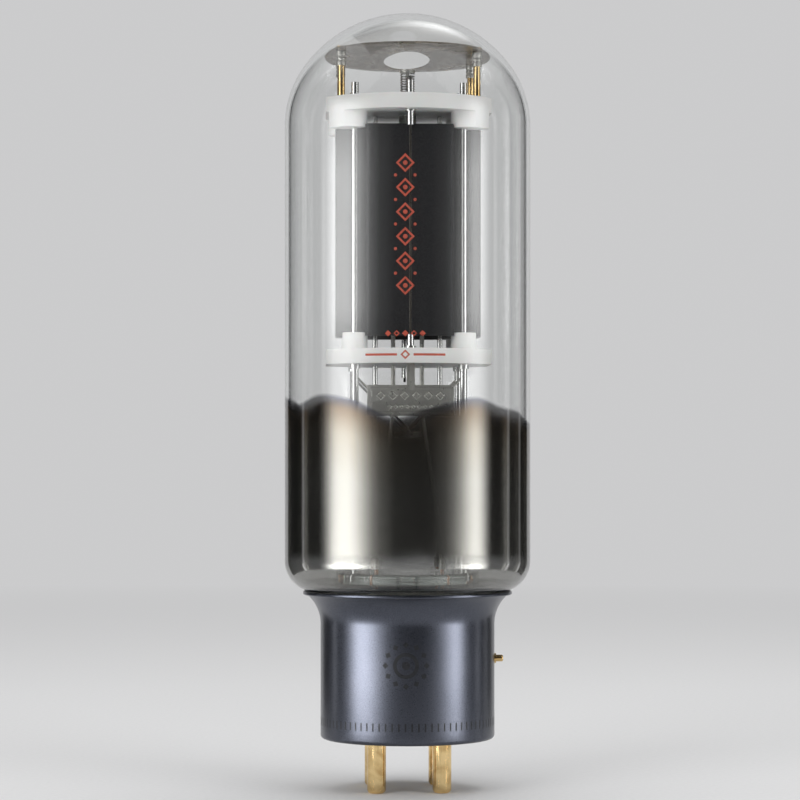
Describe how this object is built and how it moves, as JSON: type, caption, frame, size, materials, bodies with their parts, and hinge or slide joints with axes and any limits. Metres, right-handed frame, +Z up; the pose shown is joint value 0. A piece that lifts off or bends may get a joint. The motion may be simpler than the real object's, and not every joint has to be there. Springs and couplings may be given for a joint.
{
  "type": "power triode tube",
  "caption": "Large glass power triode: domed clear bulb, graphite anode between white ceramic plates, mirrored foot, lacquered metal base with gold contact pins.",
  "frame": {"origin": "On the tube's axis at the level of the contact pins' tips, where it stands.", "axes": "+Z up along the axis, -Y the front that the picture shows, +X towards the bayonet pin."},
  "size_m": [0.0682, 0.0682, 0.215],
  "materials": {
    "bulb_glass": "clear blown glass, polished",
    "stem_glass": "pressed lead glass, clear",
    "shell_lacquer": "satin blue-grey metallic lacquer",
    "base_cement": "dark grey cement",
    "phenolic": "moulded, dull black",
    "gilt": "polished gold plate with fine scratches",
    "alumina": "unglazed white ceramic, smooth",
    "graphite": "machined graphite, satin black",
    "mica": "split mica sheet, mottled",
    "steel_wire": "drawn wire, bright",
    "nickel": "annealed nickel, satin",
    "tungsten": "drawn tungsten, dull grey",
    "copper_lead": "drawn copper-clad wire"
  },
  "bodies": {
    "root": {"glass_envelope": "bulb_glass", "glass_stem": "stem_glass", "base_shell": "shell_lacquer", "base_cement": "base_cement", "base_insulator": "phenolic", "bayonet_pin": "gilt", "lower_ceramic_plate": "alumina", "upper_ceramic_plate": "alumina", "graphite_anode": "graphite", "top_mica_disc": "mica", "filament": "tungsten", "filament_pull_rod": "nickel", "tension_spring": "tungsten", "spring_cup": "nickel", "control_grid": "steel_wire", "identification_plate": "nickel", "plate_strap": "nickel", "filament_lead_1": "nickel", "filament_lead_2": "nickel", "grid_lead": "nickel", "anode_lead": "nickel", "contact_pin_1": "gilt", "lead_wire_1": "copper_lead", "lead_sleeve_1": "nickel", "support_rod_1": "steel_wire", "mica_post_1": "gilt", "mica_ferrule_1": "nickel", "contact_pin_2": "gilt", "lead_wire_2": "copper_lead", "lead_sleeve_2": "nickel", "support_rod_2": "steel_wire", "mica_post_2": "gilt", "mica_ferrule_2": "nickel", "contact_pin_3": "gilt", "lead_wire_3": "copper_lead", "lead_sleeve_3": "nickel", "support_rod_3": "steel_wire", "mica_post_3": "gilt", "mica_ferrule_3": "nickel", "contact_pin_4": "gilt", "lead_wire_4": "copper_lead", "lead_sleeve_4": "nickel", "support_rod_4": "steel_wire", "mica_post_4": "gilt", "mica_ferrule_4": "nickel", "tie_wire_1": "tungsten", "upper_tie_ferrule_1": "steel_wire", "lower_tie_ferrule_1": "steel_wire", "filament_post_1": "nickel", "getter_wire_1": "nickel", "getter_pan_1": "nickel", "tie_wire_2": "tungsten", "upper_tie_ferrule_2": "steel_wire", "lower_tie_ferrule_2": "steel_wire", "filament_post_2": "nickel", "getter_wire_2": "nickel", "getter_pan_2": "nickel"}
  },
  "joints": []
}
